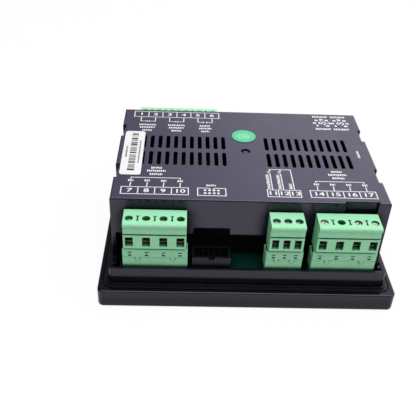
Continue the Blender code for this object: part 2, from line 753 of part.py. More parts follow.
def make_header(row, material):
    """An open-topped shroud with a pin for each pole. Its wire side faces -Y in its own frame."""
    half = plug_width(row) / 2 + HEADER_END
    front = -HEADER_FRONT
    back = front + HEADER_DEPTH
    inner = front + HEADER_WALL
    band_low = HEADER_TOP - HEADER_BAND

    def shroud(bm):
        set_back = front + HEADER_BAND_STEP
        extruded(bm, [
            (back, PART_SEAT), (back, HEADER_LOW_TOP), (inner, HEADER_LOW_TOP), (inner, HEADER_TOP),
            (front, HEADER_TOP), (front, band_low), (set_back, band_low - HEADER_BAND_STEP),
            (set_back, PART_SEAT),
        ], -half, half)

    def hollow(bm):
        side = half - HEADER_SIDE_WALL
        box(bm, -side, side, inner, back - HEADER_WALL, PART_SEAT + HEADER_FLOOR, HEADER_TOP + HEADER_WALL)

    def latch_windows(bm):
        upper = (LATCH_UPPER_WIDTH / 2, LATCH_UPPER_HEIGHT / 2, HEADER_TOP - LATCH_UPPER_DROP)
        lower = (LATCH_LOWER_WIDTH / 2, LATCH_LOWER_HEIGHT / 2, HEADER_TOP - LATCH_LOWER_DROP)
        y0 = front - HEADER_WALL
        y1 = inner + HEADER_WALL / 2
        for x in poles(row):
            for across, rise, z in (upper, lower):
                box(bm, x - across, x + across, y0, y1, z - rise, z + rise)

    def pins(bm):
        reach = PIN_SIZE / 2
        for x in poles(row):
            box(bm, x - reach, x + reach, -HEADER_MIDDLE - reach, -HEADER_MIDDLE + reach,
                PART_SEAT + HEADER_FLOOR / 2, HEADER_TOP - PIN_TOP_GAP)

    def ribs(bm):
        for pole in (poles(row)[0], poles(row)[-1]):
            middle = RIB_SPREAD * pole
            box(bm, middle - RIB_WIDTH / 2, middle + RIB_WIDTH / 2, front, front + HEADER_WALL / 2,
                band_low - RIB_HEIGHT, band_low + HEADER_BAND / 4)

    where = (row.x, 0, 0)
    header = solid(f"header_{row_name(row)}", material, shroud, location=where, turn=row_turn(row))
    cut(header, "hollow", hollow)
    cut(header, "latch_windows", latch_windows)
    join(header, "pins", pins)
    join(header, "ribs", ribs)


def plug_base(row):
    """Height of the underside of the plug's block, the plug's own zero."""
    return HEADER_TOP + PLUG_SEAM + row.lift


def plug_profile():
    """The plug's end view as (y, z): lip, upper face, groove, wire face, and the part that plugs in."""
    front = -PLUG_FRONT
    upper = front + LIP_STEP
    wire = front + WIRE_FACE_STEP
    groove_top = WIRE_FACE_HEIGHT + GROOVE_HEIGHT
    lip_low = PLUG_HEIGHT - LIP_HEIGHT
    insert_front = -HEADER_FRONT + HEADER_WALL + CLEARANCE
    insert_back = -HEADER_FRONT + HEADER_DEPTH - HEADER_WALL - CLEARANCE
    return [
        (-PLUG_BACK, PLUG_HEIGHT), (front + LIP_CHAMFER, PLUG_HEIGHT), (front, PLUG_HEIGHT - LIP_CHAMFER),
        (front, lip_low), (upper, lip_low - LIP_STEP / 2), (upper, groove_top),
        (front + GROOVE_STEP, groove_top), (front + GROOVE_STEP, WIRE_FACE_HEIGHT), (wire, WIRE_FACE_HEIGHT),
        (wire, 0), (insert_front, 0), (insert_front, -INSERT_REACH), (insert_back, -INSERT_REACH),
        (insert_back, -PLUG_SKIRT), (-PLUG_BACK, -PLUG_SKIRT),
    ]


def make_plug(row, material):
    """A block over the header: a screw shaft, a clamp chamber and a wire window for each pole."""
    half = plug_width(row) / 2
    insert_half = half - INSERT_SETBACK
    chamber_half = CLAMP_WIDTH / 2 + CLEARANCE

    def block(bm):
        extruded(bm, plug_profile(), -half, half)

    def insert_ends(bm):
        for side in (-1, 1):
            x0, x1 = sorted((side * insert_half, side * (half + HEADER_WALL)))
            box(bm, x0, x1, -PLUG_FRONT, HEADER_WALL - PLUG_BACK, -2 * INSERT_REACH, -PLUG_SKIRT)

    def windows(bm):
        for x in poles(row):
            box(bm, x - row.window / 2, x + row.window / 2, -PLUG_FRONT - PLUG_OVERHANG,
                -SCREW_Y, WINDOW_SILL, WINDOW_SILL + WINDOW_HEIGHT)

    def chambers(bm):
        for x in poles(row):
            y0 = -SCREW_Y - CLAMP_DEPTH / 2 - CLEARANCE
            y1 = -SCREW_Y + CLAMP_DEPTH / 2 + CLEARANCE
            box(bm, x - chamber_half, x + chamber_half, y0, y1, CLAMP_BOTTOM - CLEARANCE,
                CLAMP_BOTTOM + CLAMP_HEIGHT + CLEARANCE)

    def shafts(bm):
        for x in poles(row):
            hole = circle(SCREW_HEAD_RADIUS + CLEARANCE, ROUND_STEPS, x, -SCREW_Y)
            prism(bm, hole, CLAMP_BOTTOM + CLAMP_HEIGHT / 2, PLUG_HEIGHT + LIP_HEIGHT)

    def sockets(bm):
        reach = PIN_SIZE / 2 + CLEARANCE
        for x in poles(row):
            box(bm, x - reach, x + reach, -HEADER_MIDDLE - reach, -HEADER_MIDDLE + reach,
                -2 * INSERT_REACH, CLEARANCE - PIN_TOP_GAP - PLUG_SEAM)

    def probe_holes(bm):
        """Between wide poles: a slot along Y with a bar across each end, the wider one at the back."""
        far = -PLUG_FRONT + PROBE_SETBACK + PROBE_LENGTH / 2
        near = far - PROBE_LENGTH
        foot, stem, bar = PROBE_FOOT / 2, PROBE_STEM / 2, PROBE_BAR / 2
        right = [(foot, near), (foot, near + PROBE_STEM), (stem, near + PROBE_STEM)]
        right += [(stem, far - PROBE_STEM), (bar, far - PROBE_STEM), (bar, far)]
        outline = right + [(-x, y) for x, y in reversed(right)]
        for x, after in zip(poles(row), poles(row)[1:]):
            middle = (x + after) / 2
            moved = [(middle + dx, y) for dx, y in outline]
            prism(bm, moved, PLUG_HEIGHT - PROBE_DEPTH, PLUG_HEIGHT + PROBE_DEPTH)

    where = (row.x, 0, plug_base(row))
    plug = solid(f"plug_{row_name(row)}", material, block, location=where, turn=row_turn(row))
    cut(plug, "insert_ends", insert_ends)
    cut(plug, "chambers", chambers)
    cut(plug, "windows", windows)
    cut(plug, "shafts", shafts)
    cut(plug, "sockets", sockets)
    if row.pitch > 2 * (SCREW_HEAD_RADIUS + CLEARANCE) + PROBE_BAR:
        cut(plug, "probe_holes", probe_holes)


def screw_mesh(material):
    """A slotted clamp screw, hanging from the middle of its head's top."""
    def body(bm):
        neck = -SCREW_HEAD_HEIGHT
        turned(bm, [(SCREW_SHANK_RADIUS, neck - SCREW_SHANK_LENGTH), (SCREW_SHANK_RADIUS, neck),
                    (SCREW_HEAD_RADIUS, neck), (SCREW_HEAD_RADIUS, 0)], SMALL_STEPS)

    def slot(bm):
        reach = 2 * SCREW_HEAD_RADIUS
        box(bm, -reach, reach, -SCREW_SLOT_WIDTH / 2, SCREW_SLOT_WIDTH / 2, -SCREW_SLOT_DEPTH, SCREW_SLOT_DEPTH)

    screw = solid("screw_pattern", material, body)
    cut(screw, "slot", slot)
    return bake(screw)


def clamp_mesh(material):
    """A rising clamp: a square cage, open to the wire and closed behind, with a screw hole in its top."""
    def loop(bm):
        box(bm, -CLAMP_WIDTH / 2, CLAMP_WIDTH / 2, -CLAMP_DEPTH / 2, CLAMP_DEPTH / 2, 0, CLAMP_HEIGHT)

    def way_in(bm):
        half = CLAMP_WIDTH / 2 - CLAMP_WALL
        back = CLAMP_DEPTH / 2 - CLAMP_WALL
        box(bm, -half, half, -CLAMP_DEPTH, back, CLAMP_WALL, CLAMP_HEIGHT - CLAMP_TOP_WALL)

    def screw_hole(bm):
        hole = circle(SCREW_SHANK_RADIUS + CLEARANCE, SCREW_HOLE_STEPS)
        prism(bm, hole, CLAMP_HEIGHT / 2, 2 * CLAMP_HEIGHT)

    clamp = solid("clamp_pattern", material, loop)
    cut(clamp, "way_in", way_in)
    cut(clamp, "screw_hole", screw_hole)
    return bake(clamp)


def make_clamps_and_screws(rows, screw, clamp):
    for row in rows:
        places = sorted(row.x + x for x in poles(row))
        for k, x in enumerate(places):
            number = row.first + k
            depth, slot_angle = SCREW_STATES[number]
            y = row.side * SCREW_Y
            base = plug_base(row)
            head = (x, y, base + PLUG_HEIGHT - depth)
            place(f"clamp_screw_{number:02d}", screw, None, head, math.radians(slot_angle))
            place(f"wire_clamp_{number:02d}", clamp, None, (x, y, base + CLAMP_BOTTOM), row_turn(row))


def make_link_header(material):
    front = -HEADER_FRONT
    back = front + LINK_DEPTH
    half = LINK_WIDTH / 2
    top = PART_SEAT + LINK_HEIGHT

    def shell(bm):
        low = top - LINK_BAND
        set_back = front + LINK_BAND_STEP
        extruded(bm, [(back, PART_SEAT), (back, top), (front, top), (front, low), (set_back, low),
                      (set_back, PART_SEAT)], -half, half)

    def hollow(bm):
        box(bm, -half + LINK_WALL, half - LINK_WALL, front + LINK_WALL, back - LINK_WALL,
            PART_SEAT + LINK_FLOOR, top + LINK_WALL)

    def key(bm):
        box(bm, -LINK_KEY_WIDTH / 2, LINK_KEY_WIDTH / 2, front - LINK_WALL, front + 2 * LINK_WALL,
            top - LINK_KEY_DEPTH, top + LINK_WALL)

    def pins(bm):
        middle = (front + back) / 2
        reach = LINK_PIN / 2
        for column in range(LINK_COLUMNS):
            x = (column - (LINK_COLUMNS - 1) / 2) * LINK_PITCH
            for y in (middle - LINK_PITCH / 2, middle + LINK_PITCH / 2):
                box(bm, x - reach, x + reach, y - reach, y + reach,
                    PART_SEAT + LINK_FLOOR / 2, PART_SEAT + LINK_FLOOR + LINK_PIN_HEIGHT)

    header = solid("link_header", material, shell, location=(LINK_X, 0, 0))
    cut(header, "hollow", hollow)
    cut(header, "key", key)
    join(header, "pins", pins)


def make_trimmers(body_material, rotor_material):
    """Each rotor turns about an axis along Y, and its origin is on that axis at the body's face."""
    face = MAIN_BOARD_Y - TRIMMER_SETBACK
    axis_z = PART_SEAT + TRIMMER_HEIGHT / 2
    outwards = Matrix.Rotation(-math.pi / 2, 4, "X")

    def case(bm):
        half = TRIMMER_WIDTH / 2
        low = PART_SEAT - axis_z
        box(bm, -half, half, -TRIMMER_DEPTH, 0, low, low + TRIMMER_HEIGHT)

    def seat(bm):
        well = ROTOR_LENGTH - ROTOR_PROUD + CLEARANCE
        bore = well + ROTOR_PIN_LENGTH + CLEARANCE
        bore_radius = ROTOR_PIN_RADIUS + RUNNING_CLEARANCE
        well_radius = ROTOR_RADIUS + CLEARANCE
        turned(bm, [(bore_radius, -bore), (bore_radius, -well), (well_radius, -well), (well_radius, well)],
               ROUND_STEPS)
        bm.transform(outwards)

    def rotor(bm):
        low = ROTOR_PROUD - ROTOR_LENGTH
        turned(bm, [(ROTOR_PIN_RADIUS, low - ROTOR_PIN_LENGTH), (ROTOR_PIN_RADIUS, low),
                    (ROTOR_RADIUS, low), (ROTOR_RADIUS, ROTOR_PROUD)], ROUND_STEPS)
        bm.transform(outwards)

    def blade_slot(bm):
        box(bm, -ROTOR_SLOT_LENGTH / 2, ROTOR_SLOT_LENGTH / 2, ROTOR_PROUD - ROTOR_SLOT_DEPTH, 2 * ROTOR_PROUD,
            -ROTOR_SLOT / 2, ROTOR_SLOT / 2)

    for k, x in enumerate(TRIMMER_X):
        where = (x, face, axis_z)
        body = solid(f"trimmer_{k + 1}_body", body_material, case, location=where)
        cut(body, "seat", seat)
        knob = solid(f"trimmer_{k + 1}_rotor", rotor_material, rotor, location=where)
        cut(knob, "blade_slot", blade_slot)


def make_labels(paper_material, sticker_material):
    low = COVER_TOP + LABEL_GAP

    def paper(bm):
        prism(bm, rounded_rectangle(SERIAL_WIDTH, SERIAL_LENGTH, SERIAL_CORNER), low, low + LABEL_THICKNESS)

    def disc(bm):
        prism(bm, circle(STICKER_RADIUS, 2 * ROUND_STEPS), low, low + LABEL_THICKNESS)

    solid("serial_label", paper_material, paper, location=(SERIAL_X, SERIAL_Y, 0))
    solid("inspection_sticker", sticker_material, disc, location=(0, STICKER_Y, 0))


def main():
    clear_scene()
    shell_black = plastic("shell_black", (0.045, 0.044, 0.052), 0.45)
    bezel_black = plastic("bezel_black", (0.022, 0.021, 0.025), 0.2)
    seal_rubber = plastic("seal_rubber", (0.012, 0.012, 0.013), 0.7)
    film_grey = plastic("film_grey", (0.11, 0.12, 0.14), 0.4)
    board_green = plastic("board_green", (0.01, 0.09, 0.05), 0.35)
    display_green = plastic("display_green", (0.01, 0.08, 0.05), 0.35)
    terminal_green = plastic("terminal_green", (0.24, 0.62, 0.35), 0.45)
    screw_steel = plastic("screw_steel", (0.72, 0.70, 0.70), 0.3, metallic=1.0)
    clamp_steel = plastic("clamp_steel", (0.55, 0.52, 0.50), 0.4, metallic=1.0)
    header_black = plastic("header_black", (0.03, 0.03, 0.033), 0.4)
    relay_blue = plastic("relay_case", (0.02, 0.05, 0.12), 0.4)
    coil_yellow = plastic("coil_tape", (0.75, 0.55, 0.08), 0.5)
    trimmer_blue = plastic("trimmer_blue", (0.03, 0.10, 0.35), 0.4)
    rotor_white = plastic("rotor_white", (0.78, 0.76, 0.70), 0.45)
    label_white = plastic("label_white", (0.90, 0.90, 0.88), 0.5)
    sticker_green = plastic("sticker_green", (0.10, 0.75, 0.42), 0.35)

    make_bezel(bezel_black)
    make_seal(seal_rubber)
    make_overlay(film_grey)
    make_cover(shell_black)
    make_boards(board_green, display_green)
    make_inner_parts(relay_blue, coil_yellow, header_black)
    for row in ROWS:
        make_header(row, terminal_green)
        make_plug(row, terminal_green)
    make_clamps_and_screws(ROWS, screw_mesh(screw_steel), clamp_mesh(clamp_steel))
    make_link_header(header_black)
    make_trimmers(trimmer_blue, rotor_white)
    make_labels(label_white, sticker_green)


main()
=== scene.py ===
"""Finishes, print, studio and camera for the transfer switch controller. Lengths are in metres."""

import math

import bmesh
import bpy
from mathutils import Matrix, Vector


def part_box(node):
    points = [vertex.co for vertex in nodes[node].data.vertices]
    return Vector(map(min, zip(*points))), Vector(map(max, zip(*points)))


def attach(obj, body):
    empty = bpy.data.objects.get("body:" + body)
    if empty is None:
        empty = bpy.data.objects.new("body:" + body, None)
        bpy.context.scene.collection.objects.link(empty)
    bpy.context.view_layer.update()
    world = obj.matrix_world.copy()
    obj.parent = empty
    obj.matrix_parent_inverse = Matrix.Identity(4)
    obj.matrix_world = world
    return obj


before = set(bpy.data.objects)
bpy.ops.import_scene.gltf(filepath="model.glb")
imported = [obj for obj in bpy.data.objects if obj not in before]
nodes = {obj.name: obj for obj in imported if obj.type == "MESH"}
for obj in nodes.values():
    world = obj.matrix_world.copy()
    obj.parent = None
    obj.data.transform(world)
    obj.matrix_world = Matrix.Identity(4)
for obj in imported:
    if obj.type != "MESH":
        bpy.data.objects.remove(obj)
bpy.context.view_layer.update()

MM = 0.001
CASE = "case"

# Levels of what is printed or stuck on
ROOF = 50.0 * MM
PRINT_Z = ROOF + 0.03 * MM
LABEL_PRINT_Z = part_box("serial_label")[1].z + 0.02 * MM
STICKER_PRINT_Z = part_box("inspection_sticker")[1].z + 0.02 * MM
OVERLAY_PRINT_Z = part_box("front_overlay")[0].z + 0.22 * MM

# Print, in millimetres as all places on a printed face are: line width, digits, pitches of terminals
LINE = 0.46
DIGITS = {"size": 3.95, "weight": 0.020, "stretch": 1.3}
DIAL_DIGITS = {"size": 1.95, "weight": 0.10, "stretch": 0.95}
DIAL_NUMBERS = (5, 10, 15, 20, 25, 30, 60)
WIDE_PITCH = 7.62
NARROW_PITCH = 5.08
WORD_HEIGHT = 1.75

# Light that the world gives, how much the floor throws back, and its white to the eye
WORLD_LIGHT = 0.35
FLOOR_BOUNCE = 0.64
FLOOR_GLOW = 0.94
FLOOR_HALF_SIDE = 3.0
LAMP_TARGET = (0, 0, 0.03)

# The photograph's camera
LENS = 54.395
SENSOR = 36.0
EYE = (-0.030151, -0.270491, 0.212282)
YAW_PITCH_ROLL = (-2.684, -36.143, -2.816)


# Materials

def rgba(value):
    return value if isinstance(value, bpy.types.NodeSocket) else (*value, 1.0)


class Nodes:
    """A node tree, with short calls for the nodes used here."""

    def __init__(self, tree):
        self.tree = tree

    def node(self, kind, **settings):
        made = self.tree.nodes.new(kind)
        for key, value in settings.items():
            setattr(made, key, value)
        return made

    def link(self, source, target):
        self.tree.links.new(source, target)

    def feed(self, target, value):
        if isinstance(value, bpy.types.NodeSocket):
            self.link(value, target)
        else:
            target.default_value = value

    def math(self, operation, a, b):
        made = self.node("ShaderNodeMath", operation=operation)
        self.feed(made.inputs[0], a)
        self.feed(made.inputs[1], b)
        return made.outputs[0]

    def remap(self, value, low, high, to_low=0.0, to_high=1.0):
        made = self.node("ShaderNodeMapRange")
        self.feed(made.inputs["Value"], value)
        for key, number in (("From Min", low), ("From Max", high), ("To Min", to_low), ("To Max", to_high)):
            made.inputs[key].default_value = number
        return made.outputs["Result"]

    def blend(self, factor, a, b):
        """Mix two numbers."""
        made = self.node("ShaderNodeMix", data_type="FLOAT")
        for socket, value in zip((made.inputs[0], made.inputs[2], made.inputs[3]), (factor, a, b)):
            self.feed(socket, value)
        return made.outputs[0]

    def mix(self, factor, a, b):
        """Mix two colours."""
        made = self.node("ShaderNodeMix", data_type="RGBA")
        self.feed(made.inputs["Factor"], factor)
        self.feed(made.inputs[6], rgba(a))
        self.feed(made.inputs[7], rgba(b))
        return made.outputs[2]

    def axis(self, letter, source):
        made = self.node("ShaderNodeSeparateXYZ")
        self.link(source, made.inputs[0])
        return made.outputs[letter]


class Shader(Nodes):
    """A material's node tree around its Principled surface."""

    def __init__(self, name, roughness=0.5, metallic=0.0):
        self.material = bpy.data.materials.new(name)
        self.material.use_nodes = True
        super().__init__(self.material.node_tree)
        self.bsdf = self.tree.nodes["Principled BSDF"]
        self.bsdf.inputs["Roughness"].default_value = roughness
        self.bsdf.inputs["Metallic"].default_value = metallic
        self.place = self.node("ShaderNodeTexCoord").outputs["Object"]

    def noise(self, size, detail=2.0):
        """Noise with features of about that size in metres."""
        made = self.node("ShaderNodeTexNoise")
        self.link(self.place, made.inputs["Vector"])
        made.inputs["Scale"].default_value = 1 / size
        made.inputs["Detail"].default_value = detail
        return made.outputs["Fac"]

    def facing(self, letter):
        """The surface normal's part along an axis of the part."""
        return self.axis(letter, self.node("ShaderNodeNewGeometry").outputs["Normal"])

    def openness(self, reach, own=False):
        """How open a place is within the reach, seen by the piece's own surface or by all pieces."""
        made = self.node("ShaderNodeAmbientOcclusion", samples=6, only_local=own)
        made.inputs["Distance"].default_value = reach
        return made.outputs["AO"]

    def crevices(self, color, reach, painted_shade_color, closed=0.3, opened=0.85):
        """Paint shade into a colour: it turns to the given shade colour in holes, seams and corners narrower
        than the reach.
        """
        return self.mix(self.remap(self.openness(reach), closed, opened), painted_shade_color, color)

    def surface(self, height, distance, edge=0.0):
        """Bump from a height, over edges that look rounded to that radius."""
        bump = self.node("ShaderNodeBump")
        bump.inputs["Strength"].default_value = 1.0
        bump.inputs["Distance"].default_value = distance
        self.link(height, bump.inputs["Height"])
        if edge:
            bevel = self.node("ShaderNodeBevel", samples=4)
            bevel.inputs["Radius"].default_value = edge
            self.link(bevel.outputs["Normal"], bump.inputs["Normal"])
        self.link(bump.outputs["Normal"], self.bsdf.inputs["Normal"])

    def color(self, value):
        self.feed(self.bsdf.inputs["Base Color"], rgba(value))

    def roughness(self, value):
        self.feed(self.bsdf.inputs["Roughness"], value)

    def specular(self, value):
        self.feed(self.bsdf.inputs["Specular IOR Level"], value)

    def reflection(self, ior, tint=(1.0, 1.0, 1.0)):
        """The refractive index and the colour of what is reflected."""
        self.bsdf.inputs["IOR"].default_value = ior
        self.bsdf.inputs["Specular Tint"].default_value = rgba(tint)


def cover_plastic():
    """Spark-textured on the roof and glossy on the walls, with painted shade that dims the walls' reflection
    close to the plugs.
    """
    m = Shader("cover_plastic")
    roof = m.remap(m.facing("Z"), 0.80, 0.97)
    blotch = m.noise(9 * MM, detail=3)
    grain = m.noise(0.30 * MM, detail=1)
    wall_color = m.mix(blotch, (0.0045, 0.0038, 0.0085), (0.0070, 0.0060, 0.0130))
    roof_color = m.mix(blotch, (0.029, 0.026, 0.052), (0.035, 0.032, 0.062))
    speckled = m.mix(m.remap(grain, 0.35, 0.7), roof_color, (0.051, 0.047, 0.085))
    m.color(m.mix(roof, wall_color, speckled))
    wall_gloss = m.remap(blotch, 0.3, 0.7, 0.16, 0.23)
    m.roughness(m.math("ADD", m.math("MULTIPLY", roof, 0.22), wall_gloss))
    m.reflection(1.62, (0.84, 0.80, 1.0))
    # painted shade: reflection is turned down where other surfaces are close, as above the plugs
    reflection_dimmed_in_shade = m.remap(m.openness(8.5 * MM), 0.6, 0.88, 0.02, 0.55)
    m.specular(m.math("SUBTRACT", reflection_dimmed_in_shade, m.math("MULTIPLY", roof, 0.08)))
    height = m.math("MULTIPLY", grain, m.math("ADD", m.math("MULTIPLY", roof, 0.9), 0.1))
    m.surface(height, distance=0.012 * MM, edge=0.25 * MM)
    return m.material


def bezel_plastic():
    """Polished black, with a slow unevenness in its gloss and less reflection low down."""
    m = Shader("bezel_plastic")
    blotch = m.noise(12 * MM, detail=3)
    m.color(m.mix(blotch, (0.0050, 0.0045, 0.0085), (0.0070, 0.0063, 0.0115)))
    m.roughness(m.remap(blotch, 0.3, 0.7, 0.12, 0.19))
    m.reflection(1.43, (0.86, 0.82, 1.0))
    m.specular(m.remap(m.axis("Z", m.place), 5 * MM, 9.5 * MM, 0.37, 0.61))
    m.surface(m.noise(0.5 * MM), distance=0.0008 * MM, edge=0.3 * MM)
    return m.material


def seal_rubber():
    """Matte black rubber, with a dusty haze in places."""
    m = Shader("seal_rubber")
    bloom_and_painted_top_light = m.noise(2.5 * MM, detail=3)
    fine = m.noise(0.12 * MM, detail=2)
    m.color(m.mix(m.remap(bloom_and_painted_top_light, 0.35, 0.7), (0.0025, 0.0025, 0.0030), (0.0060, 0.0060, 0.0065)))
    m.roughness(m.remap(bloom_and_painted_top_light, 0.3, 0.7, 0.32, 0.48))
    m.reflection(1.42, (0.80, 0.80, 1.0))
    m.surface(fine, distance=0.006 * MM, edge=0.2 * MM)
    return m.material


def moulding(name, dark, light, roughness, edge=0.15 * MM, reach=0.0, painted_shade_color=None, closed=0.4, opened=0.8,
             own=True, bloom_and_painted_top_light=0.0):
    """Moulded plastic with a slow colour drift, a fine grain and softened edges.

    Its holes and seams narrower than the reach get painted shade, darker and duller, and what faces up gets a
    paler painted top light.
    """
    m = Shader(name)
    drift = m.noise(6 * MM, detail=3)
    fine = m.noise(0.25 * MM, detail=1)
    speck = m.remap(m.math("ADD", drift, m.math("MULTIPLY", fine, 0.4)), 0.4, 1.0)
    color = m.mix(speck, dark, light)
    # painted top light: faces that point up are mixed towards a paler copy of the light colour
    if bloom_and_painted_top_light:
        color = m.mix(m.remap(m.facing("Z"), 0.3, 0.95), color, tuple(bloom_and_painted_top_light * c for c in light))
    # painted shade: within the reach of other surfaces the colour turns to the shade colour and reflects less
    if reach:
        sky = m.openness(reach, own)
        color = m.mix(m.remap(sky, closed, opened), painted_shade_color, color)
        m.specular(m.remap(sky, closed, opened, 0.03, 0.5))
    m.color(color)
    m.roughness(m.remap(drift, 0.3, 0.7, roughness - 0.04, roughness + 0.05))
    m.surface(fine, distance=0.008 * MM, edge=edge)
    return m


def plated(name, color, roughness, painted_shade_color=None):
    """Nickel-plated steel with fine turning marks and a few dents."""
    m = Shader(name, metallic=1.0)
    marks = m.noise(0.12 * MM, detail=2)
    plate = m.mix(m.remap(marks, 0.3, 0.7), tuple(0.82 * c for c in color), color)
    # painted shade: where a shade colour is given, hollows narrower than 1.5 mm turn to it
    m.color(m.crevices(plate, 1.5 * MM, painted_shade_color) if painted_shade_color else plate)
    m.roughness(m.remap(marks, 0.3, 0.7, roughness - 0.06, roughness + 0.08))
    dents = m.noise(1.3 * MM, detail=1)
    m.surface(m.math("ADD", dents, m.math("MULTIPLY", marks, 0.04)), distance=0.10 * MM, edge=0.08 * MM)
    return m.material


def circuit_board():
    """Dark green solder resist over faint copper areas, with painted shade that turns it near black far back
    under the cover.
    """
    m = Shader("board_resist")
    m.reflection(1.35)
    copper = m.node("ShaderNodeTexBrick", offset=0.37, squash=0.6, squash_frequency=3)
    m.link(m.place, copper.inputs["Vector"])
    copper.inputs["Scale"].default_value = 95
    copper.inputs["Mortar Size"].default_value = 0.012
    copper.inputs["Color1"].default_value = (0.0026, 0.0380, 0.0250, 1)
    copper.inputs["Color2"].default_value = (0.0038, 0.0500, 0.0330, 1)
    copper.inputs["Mortar"].default_value = (0.0018, 0.0260, 0.0170, 1)
    drift = m.noise(7 * MM)
    resist = m.mix(m.math("MULTIPLY", drift, 0.5), copper.outputs["Color"], (0.0030, 0.0400, 0.0260))
    # painted shade: the resist turns near black where the cover closes over it
    m.color(m.crevices(resist, 30 * MM, (0.0006, 0.0016, 0.0014), 0.22, 0.38))
    m.roughness(m.remap(m.noise(2 * MM), 0.3, 0.7, 0.18, 0.28))
    m.surface(copper.outputs["Fac"], distance=0.004 * MM, edge=0.1 * MM)
    return m.material


def film(name, dark, light, roughness):
    """Paper or polyester film."""
    m = Shader(name)
    fibre = m.noise(0.4 * MM, detail=3)
    m.color(m.mix(m.remap(fibre, 0.3, 0.7), dark, light))
    m.roughness(m.remap(fibre, 0.3, 0.7, roughness - 0.05, roughness + 0.05))
    m.surface(fibre, distance=0.003 * MM)
    return m.material


def ink(name, color):
    """Screen-printed ink, a little uneven."""
    m = Shader(name)
    spread = m.noise(0.5 * MM, detail=2)
    m.color(m.mix(m.remap(spread, 0.35, 0.65), tuple(0.86 * c for c in color), color))
    m.roughness(m.remap(spread, 0.3, 0.7, 0.45, 0.6))
    return m.material


def dress(material, *names):
    for name in names:
        slots = nodes[name].material_slots
        if not slots:
            nodes[name].data.materials.append(material)
        for slot in slots:
            slot.link = "OBJECT"
            slot.material = material


def dress_terminals():
    """The far plug is seen edge-on, so the shade painted into its wells is paler than that in the near plugs'
    wells.
    """
    # painted shade: seams, latch windows and places close to other pieces turn to a darker green
    header = moulding("header_polyamide", (0.285, 0.650, 0.390), (0.325, 0.720, 0.440), 0.40, edge=0.28 * MM,
                      reach=1.6 * MM, painted_shade_color=(0.003, 0.110, 0.040), closed=0.68, opened=0.9, own=False)
    plug_dark, plug_light = (0.290, 0.690, 0.405), (0.335, 0.760, 0.460)
    # painted shade in the wells and seams, and painted top light on the faces that point up
    plug = moulding("plug_polyamide", plug_dark, plug_light, 0.36, edge=0.28 * MM,
                    reach=7.0 * MM, painted_shade_color=(0.007, 0.120, 0.045), bloom_and_painted_top_light=1.08)
    # the same colours with a paler painted shade over a shorter reach, and the same painted top light
    far_plug = moulding("far_plug_polyamide", plug_dark, plug_light, 0.36, edge=0.28 * MM,
                        reach=2.5 * MM, painted_shade_color=(0.060, 0.260, 0.120), bloom_and_painted_top_light=1.08)
    groups = (
        ("header_", header.material),
        ("plug_", plug.material),
        ("clamp_screw_", plated("screw_nickel", (0.97, 0.91, 0.94), 0.50)),
        # the clamp gets painted shade in its narrow hollows
        ("wire_clamp_", plated("clamp_zinc", (0.50, 0.40, 0.39), 0.42, painted_shade_color=(0.05, 0.03, 0.03))),
    )
    for prefix, material in groups:
        dress(material, *[name for name in nodes if name.startswith(prefix)])
    dress(far_plug.material, "plug_1_6")


def dress_nodes():
    dress_terminals()
    relay = moulding("relay_case", (0.006, 0.006, 0.008), (0.009, 0.009, 0.012), 0.8)
    tape = moulding("coil_tape", (0.006, 0.006, 0.006), (0.010, 0.009, 0.009), 0.85)
    black = moulding("header_black", (0.002, 0.002, 0.003), (0.005, 0.005, 0.006), 0.34)
    black.reflection(1.40, (0.86, 0.80, 1.0))
    blue = moulding("trimmer_blue", (0.015, 0.06, 0.24), (0.02, 0.08, 0.32), 0.38)
    ivory = moulding("rotor_ivory", (0.62, 0.60, 0.53), (0.72, 0.70, 0.64), 0.42)
    dress(relay.material, *[name for name in nodes if name.startswith("output_relay_")])
    dress(tape.material, "supply_transformer")
    dress(black.material, "link_header", "board_connector")
    dress(blue.material, "trimmer_1_body", "trimmer_2_body")
    dress(ivory.material, "trimmer_1_rotor", "trimmer_2_rotor")
    dress(cover_plastic(), "rear_cover")
    dress(bezel_plastic(), "front_bezel")
    dress(seal_rubber(), "panel_seal")
    dress(circuit_board(), "main_board", "display_board")
    dress(film("label_paper", (0.80, 0.79, 0.80), (0.87, 0.86, 0.87), 0.5), "serial_label")
    dress(film("sticker_film", (0.052, 0.52, 0.26), (0.070, 0.60, 0.31), 0.3), "inspection_sticker")
    dress(film("overlay_film", (0.030, 0.034, 0.042), (0.040, 0.045, 0.055), 0.42), "front_overlay")


# Pieces that scene.py adds

def add_object(name, bm, material):
    """Turn a finished bmesh into an object of the scene."""
    mesh = bpy.data.meshes.new(name)
    bm.to_mesh(mesh)
    bm.free()
    mesh.materials.append(material)
    made = bpy.data.objects.new(name, mesh)
    bpy.context.scene.collection.objects.link(made)
    return made


def add_piece(name, bm, material):
    """Add a piece that belongs to the case."""
    piece = add_object(name, bm, material)
    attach(piece, CASE)


def around(x, y, radius, steps):
    """Points on a circle."""
    turn = [2 * math.pi * k / steps for k in range(steps)]
    return [(x + radius * math.cos(a), y + radius * math.sin(a)) for a in turn]


# Print on the roof, the labels and the front overlay

